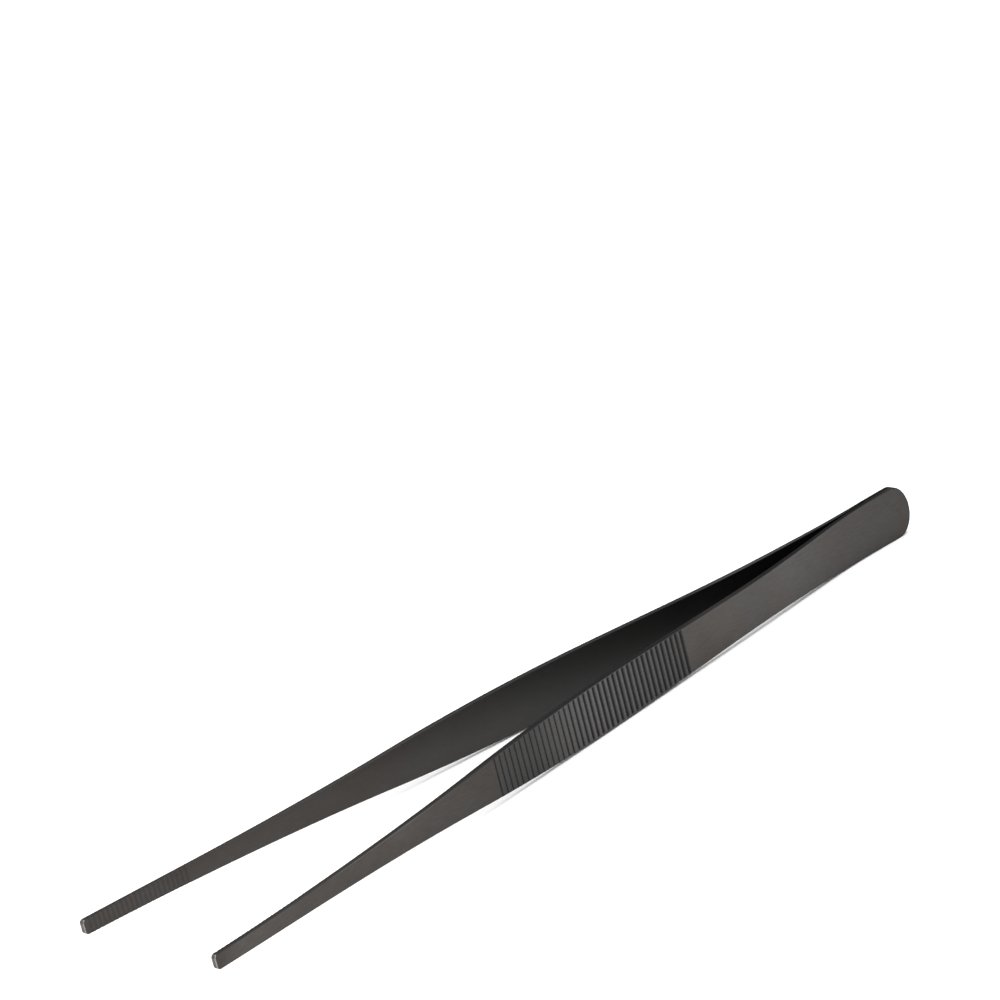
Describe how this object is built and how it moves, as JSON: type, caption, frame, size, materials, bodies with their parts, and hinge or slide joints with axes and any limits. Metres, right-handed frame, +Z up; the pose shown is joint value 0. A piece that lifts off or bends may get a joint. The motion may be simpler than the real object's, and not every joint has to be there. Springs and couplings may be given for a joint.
{
  "type": "aquascaping tweezers",
  "caption": "Long straight spring tweezers of two tapered black-coated steel blades welded at a round heel, with cross-ribbed grips and finely toothed jaws.",
  "frame": {"origin": "on the ground, at the middle of the length and halfway between the two blades", "axes": "+X from the heel to the tips, +Y towards the left blade, +Z up, with the tweezers standing on the lower edges of their blades"},
  "size_m": [0.27, 0.0538, 0.0143],
  "materials": {
    "black_coated_steel": "satin black coating over lengthwise brushing",
    "weld_metal": "ground flush and black coated"
  },
  "bodies": {
    "heel": {"left_heel_tab": "black_coated_steel", "right_heel_tab": "black_coated_steel", "heel_weld": "weld_metal"},
    "left_leg": {"left_leg": "black_coated_steel"},
    "right_leg": {"right_leg": "black_coated_steel"}
  },
  "joints": [
    {"name": "left_leg_flex", "type": "hinge", "parent": "heel", "child": "left_leg", "pos_m": [-0.092, 0.00305, 0.00715], "axis": [0, 0, -1], "range_deg": [0, 6.3], "stiffness_Nm_per_rad": 9.2},
    {"name": "right_leg_flex", "type": "hinge", "parent": "heel", "child": "right_leg", "pos_m": [-0.092, -0.00305, 0.00715], "axis": [0, 0, 1], "range_deg": [0, 6.3], "stiffness_Nm_per_rad": 9.2}
  ]
}
